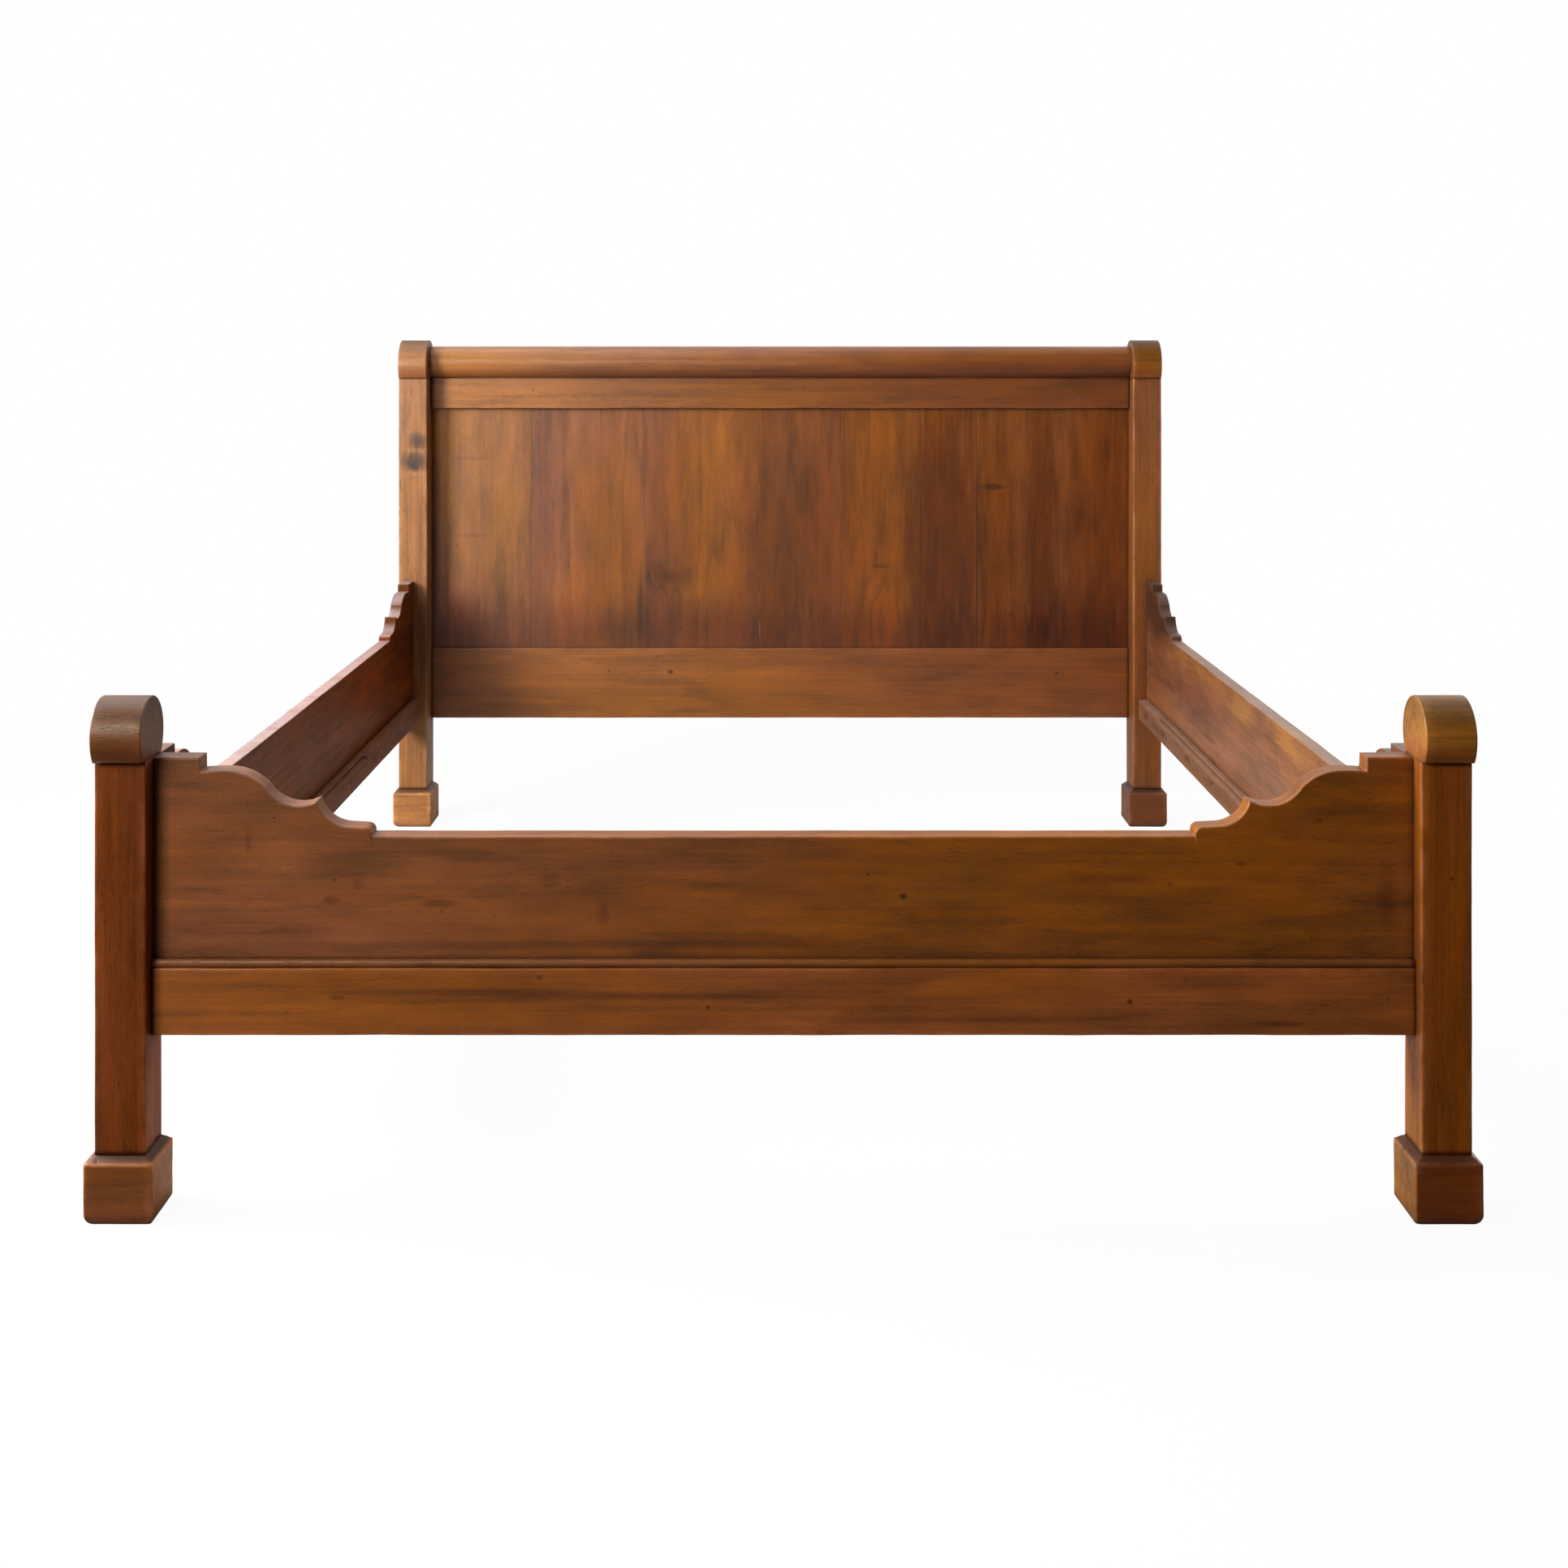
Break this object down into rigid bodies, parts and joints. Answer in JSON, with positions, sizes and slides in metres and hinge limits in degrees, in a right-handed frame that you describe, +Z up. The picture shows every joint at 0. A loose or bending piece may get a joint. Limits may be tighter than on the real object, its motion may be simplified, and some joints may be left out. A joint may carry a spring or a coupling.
{
  "type": "double bed",
  "caption": "Wooden double bed frame with scroll-capped posts, scalloped footboard and side rails, and a boarded headboard under a round top roll.",
  "frame": {"origin": "on the floor, at the middle of the bed's outer box", "axes": "+X to the right as seen from the foot of the bed, +Y from the foot towards the headboard, +Z up"},
  "size_m": [1.722, 2.1539, 1.082],
  "materials": {
    "post_walnut": "old walnut, grain upright, satin wax over shellac",
    "cap_walnut": "old walnut, grain across the bed, satin wax over shellac",
    "block_walnut": "old walnut, rubbed and a little dry, satin",
    "footboard_walnut": "old walnut, lengthwise grain, satin wax over shellac",
    "head_rail_walnut": "old walnut, lengthwise grain, satin wax over shellac",
    "board_walnut": "old walnut boards, upright grain, satin wax over shellac",
    "side_walnut": "old walnut, lengthwise grain, satin outside and dry inside",
    "ledger_wood": "walnut batten, sawn and dry, matte",
    "pin_wood": "oak pins, dry",
    "plate_steel": "dark forged steel, dull",
    "screw_steel": "dark steel, dull"
  },
  "bodies": {
    "root": {"block_dowels": "pin_wood", "cap_dowels": "pin_wood", "catch_plate_foot_left": "plate_steel", "catch_plate_foot_right": "plate_steel", "catch_plate_head_left": "plate_steel", "catch_plate_head_right": "plate_steel", "catch_plate_screws": "screw_steel", "foot_bead": "footboard_walnut", "foot_block_left": "block_walnut", "foot_block_right": "block_walnut", "foot_cap_left": "cap_walnut", "foot_cap_right": "cap_walnut", "foot_panel": "footboard_walnut", "foot_panel_dowels": "pin_wood", "foot_post_left": "post_walnut", "foot_post_right": "post_walnut", "foot_rail": "footboard_walnut", "head_block_left": "block_walnut", "head_block_right": "block_walnut", "head_board_1": "board_walnut", "head_board_2": "board_walnut", "head_board_3": "board_walnut", "head_board_4": "board_walnut", "head_board_5": "board_walnut", "head_board_6": "board_walnut", "head_board_7": "board_walnut", "head_board_8": "board_walnut", "head_bottom_rail": "head_rail_walnut", "head_cap_left": "cap_walnut", "head_cap_right": "cap_walnut", "head_post_left": "post_walnut", "head_post_right": "post_walnut", "head_roll": "head_rail_walnut", "head_top_rail": "head_rail_walnut", "hook_plate_foot_left": "plate_steel", "hook_plate_foot_right": "plate_steel", "hook_plate_head_left": "plate_steel", "hook_plate_head_right": "plate_steel", "hook_plate_screws": "screw_steel", "ledger_pegs": "pin_wood", "roll_dowels": "pin_wood", "side_rail_left": "side_walnut", "side_rail_right": "side_walnut", "slat_ledger_left": "ledger_wood", "slat_ledger_right": "ledger_wood"}
  },
  "joints": []
}
